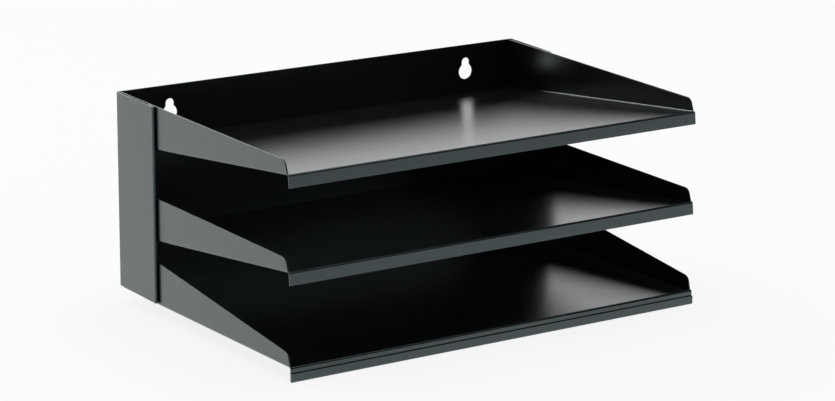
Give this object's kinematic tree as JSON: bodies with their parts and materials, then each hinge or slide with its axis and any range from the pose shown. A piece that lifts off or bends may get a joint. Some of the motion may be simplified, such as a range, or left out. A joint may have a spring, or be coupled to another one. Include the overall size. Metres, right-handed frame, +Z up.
{
  "type": "medical chart rack",
  "caption": "Folded sheet-steel rack with stacked letter-size trays for charts, for a desk or hung on a wall by keyholes in its back.",
  "frame": {"origin": "on the desk, under the centre of the rack's bounding box", "axes": "+Z up, +X to the rack's right as seen from its open front, -Y towards the open front"},
  "size_m": [0.305, 0.2054, 0.1372],
  "materials": {
    "black_enamel": "semi-gloss black enamel on sheet steel",
    "black_rubber": "matt black rubber"
  },
  "bodies": {
    "root": {"back_panel": "black_enamel", "top_tray": "black_enamel", "middle_tray": "black_enamel", "bottom_tray": "black_enamel", "rear_foot_left": "black_rubber", "rear_foot_right": "black_rubber"}
  },
  "joints": []
}
